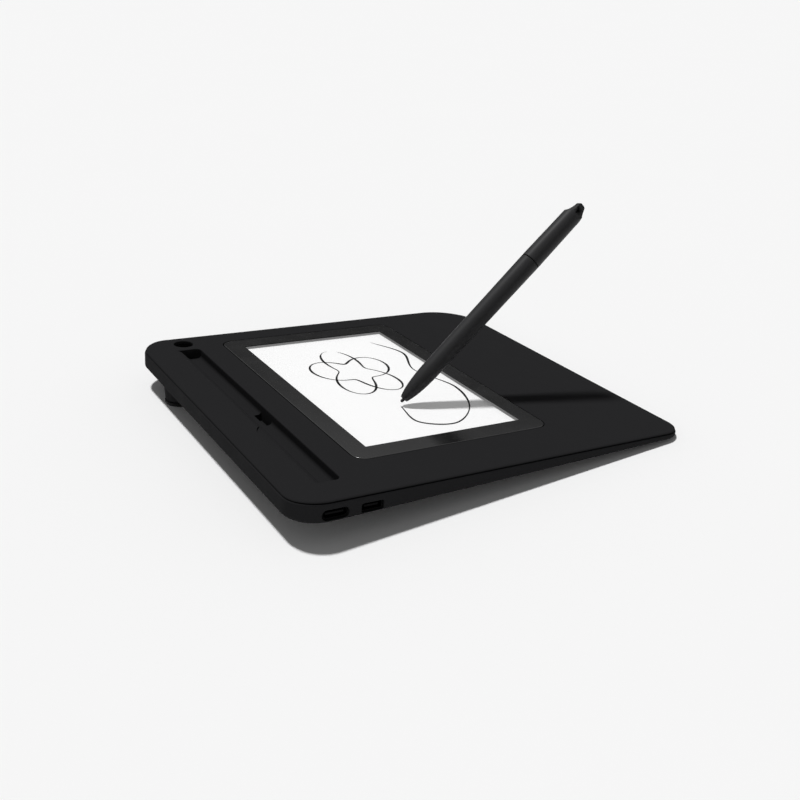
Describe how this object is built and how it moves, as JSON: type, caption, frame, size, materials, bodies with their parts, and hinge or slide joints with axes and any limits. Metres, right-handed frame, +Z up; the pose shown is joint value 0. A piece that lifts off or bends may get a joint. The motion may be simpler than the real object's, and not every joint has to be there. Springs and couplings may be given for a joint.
{
  "type": "signature pad",
  "caption": "Low wedge-shaped counter pad with a flush glass display, a pen groove and an upright pen well along its back, and a loose pen whose tip rests on the screen.",
  "frame": {"origin": "under the middle of the object's outer box, on the surface that its feet stand on", "axes": "+Z up, +X to the user's right, +Y away from the user, towards the back edge with the pen groove"},
  "size_m": [0.1602, 0.1622, 0.0774],
  "materials": {
    "case": "moulded dark charcoal plastic with a fine satin texture",
    "glass": "polished cover glass with a dark printed border round the display",
    "panel": "lit white display",
    "clear": "clear moulded light guide",
    "steel": "plain stamped or drawn steel",
    "screw": "blackened steel",
    "circuit": "green solder mask on laminate",
    "chip": "black moulded epoxy",
    "ferrite": "grey sintered ferrite",
    "plug": "ivory connector plastic",
    "ribbon": "amber film with printed tracks",
    "gasket": "black adhesive foam",
    "rubber": "dull black rubber",
    "pen": "moulded dark plastic, slightly softer sheen than the pad",
    "nib": "hard black acetal",
    "copper": "enamelled copper wire"
  },
  "bodies": {
    "pad": {"top_cover": "case", "bottom_cover": "case", "pen_well_cup": "case", "cover_glass": "glass", "glass_gasket": "gasket", "display_panel": "panel", "light_guide": "clear", "display_tray": "steel", "digitizer_board": "circuit", "shield_plate": "steel", "main_board": "circuit", "processor_chip": "chip", "memory_chip": "chip", "power_inductor": "ferrite", "display_connector": "plug", "digitizer_connector": "plug", "display_ribbon": "ribbon", "digitizer_ribbon": "ribbon", "power_socket_shell": "steel", "data_socket_shell": "steel", "power_socket_tongue": "chip", "data_socket_tongue": "chip", "board_screw_1": "screw", "board_screw_2": "screw", "case_screw_1": "screw", "case_screw_2": "screw", "case_screw_3": "screw", "case_screw_4": "screw", "case_screw_5": "screw", "case_screw_6": "screw", "front_foot_right": "rubber", "front_foot_left": "rubber", "rear_foot_right": "rubber", "rear_foot_left": "rubber"},
    "pen": {"pen_barrel": "pen", "pen_tail_cap": "pen", "ferrite_core": "ferrite", "sensing_coil": "copper", "pen_board": "circuit", "nib_spring": "steel"},
    "nib": {"pen_nib": "nib", "nib_holder": "nib"}
  },
  "joints": [
    {"name": "pen_lift", "type": "slide", "parent": "pad", "child": "pen", "axis": [0.0346, -0.7951, 0.6055], "range_m": [0, 0.12]},
    {"name": "nib_press", "type": "slide", "parent": "pen", "child": "nib", "axis": [0.0346, -0.7951, 0.6055], "range_m": [0, 0.0004], "stiffness_N_per_m": 300, "springref_m": -0.001, "deforming": ["nib_spring"]}
  ]
}
